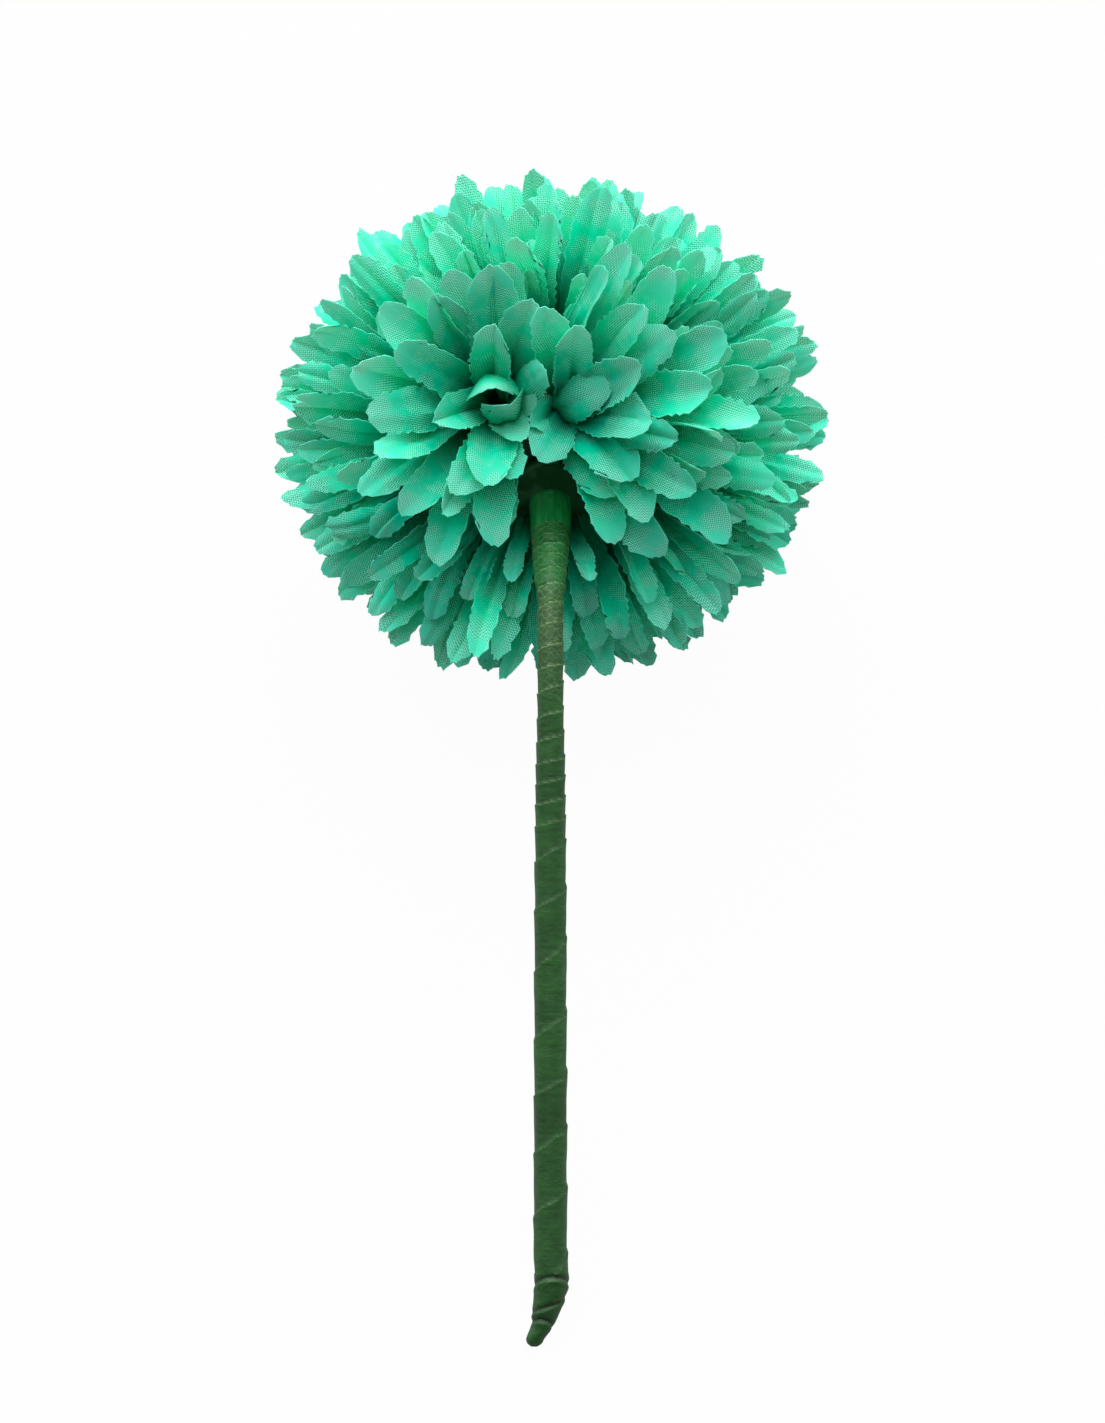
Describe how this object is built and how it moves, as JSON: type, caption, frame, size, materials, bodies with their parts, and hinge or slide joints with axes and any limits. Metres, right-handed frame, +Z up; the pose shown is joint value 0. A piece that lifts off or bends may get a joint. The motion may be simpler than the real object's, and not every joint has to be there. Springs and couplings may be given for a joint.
{
  "type": "artificial pompon chrysanthemum",
  "caption": "Fabric pompon chrysanthemum head on a bent, tape-wrapped wire stem with a twisted tail, lying on a surface.",
  "frame": {"origin": "on the resting surface, under the middle of the whole flower's bounding box", "axes": "+Z up from the resting surface, +Y from the tail of the stem towards the head, +X to the right when looking along +Y"},
  "size_m": [0.0836, 0.1704, 0.0809],
  "materials": {
    "petal_fabric": "satin",
    "moulded_green": "satin",
    "coated_wire": "satin",
    "stem_tape": "satin"
  },
  "bodies": {
    "root": {"bloom": "petal_fabric", "receptacle": "moulded_green", "stem_wire": "coated_wire", "stem_tape": "stem_tape"}
  },
  "joints": []
}
